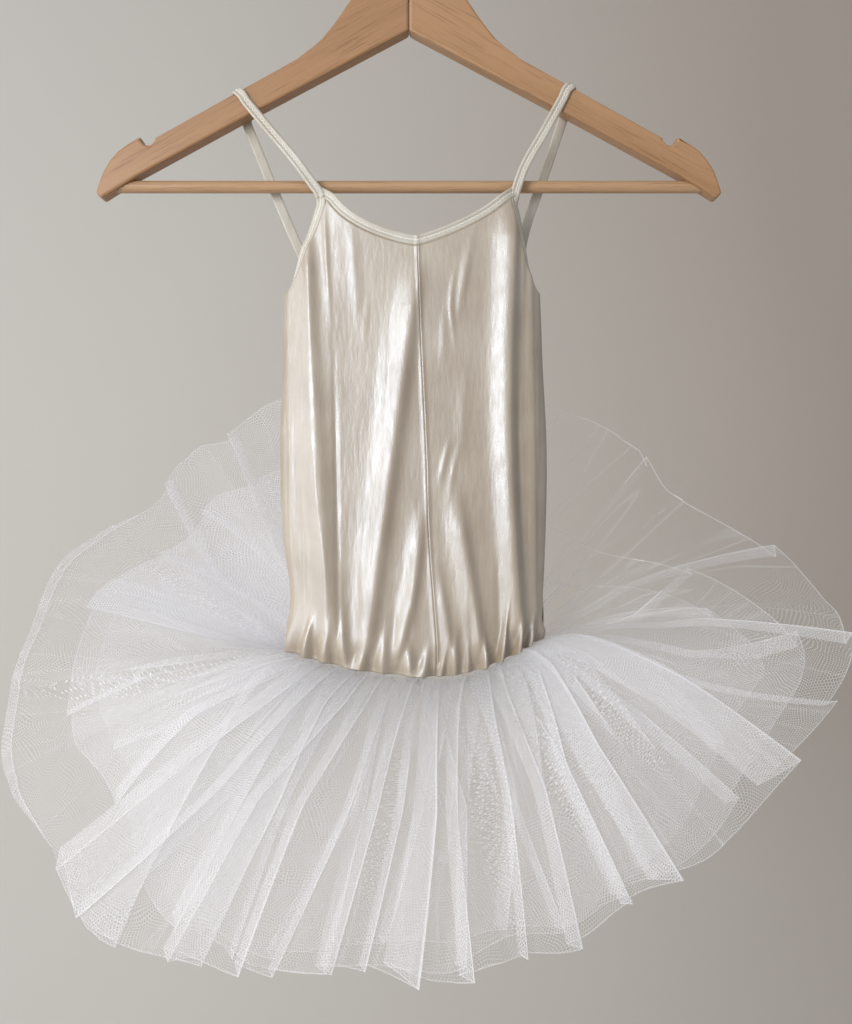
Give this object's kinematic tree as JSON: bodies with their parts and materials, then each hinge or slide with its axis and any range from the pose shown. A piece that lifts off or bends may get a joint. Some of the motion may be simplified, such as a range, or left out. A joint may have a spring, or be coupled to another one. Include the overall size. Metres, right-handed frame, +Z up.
{
  "type": "child's ballet tutu on a wooden clothes hanger",
  "caption": "Sleeveless satin camisole bodice with thin straps and a gathered dropped waist, over a stiff layered net skirt, hung on a wooden hanger.",
  "frame": {"origin": "inside of the hook's crown, where a rail carries it, in the middle of the wire's depth", "axes": "+Z up, the front of the garment faces -Y, and +X is to the right as seen from the front"},
  "size_m": [0.5722, 0.2051, 0.7388],
  "materials": {
    "wood": "pale beech under a thin satin varnish",
    "wire": "bright plated wire",
    "satin": "ivory stretch satin with a strong soft sheen",
    "binding": "folded ivory stretch satin, coverstitched",
    "net": "stiff white nylon net with raw edges"
  },
  "bodies": {
    "root": {"hanger_arm_left": "wood", "hanger_arm_right": "wood", "hanger_bar": "wood", "hanger_hook": "wire", "bodice_front_left": "satin", "bodice_front_right": "satin", "bodice_back": "satin", "neck_binding_front": "binding", "neck_binding_back": "binding", "armhole_binding_left": "binding", "armhole_binding_right": "binding", "strap_left": "binding", "strap_right": "binding", "tulle_top": "net", "tulle_middle": "net", "tulle_under": "net"}
  },
  "joints": []
}
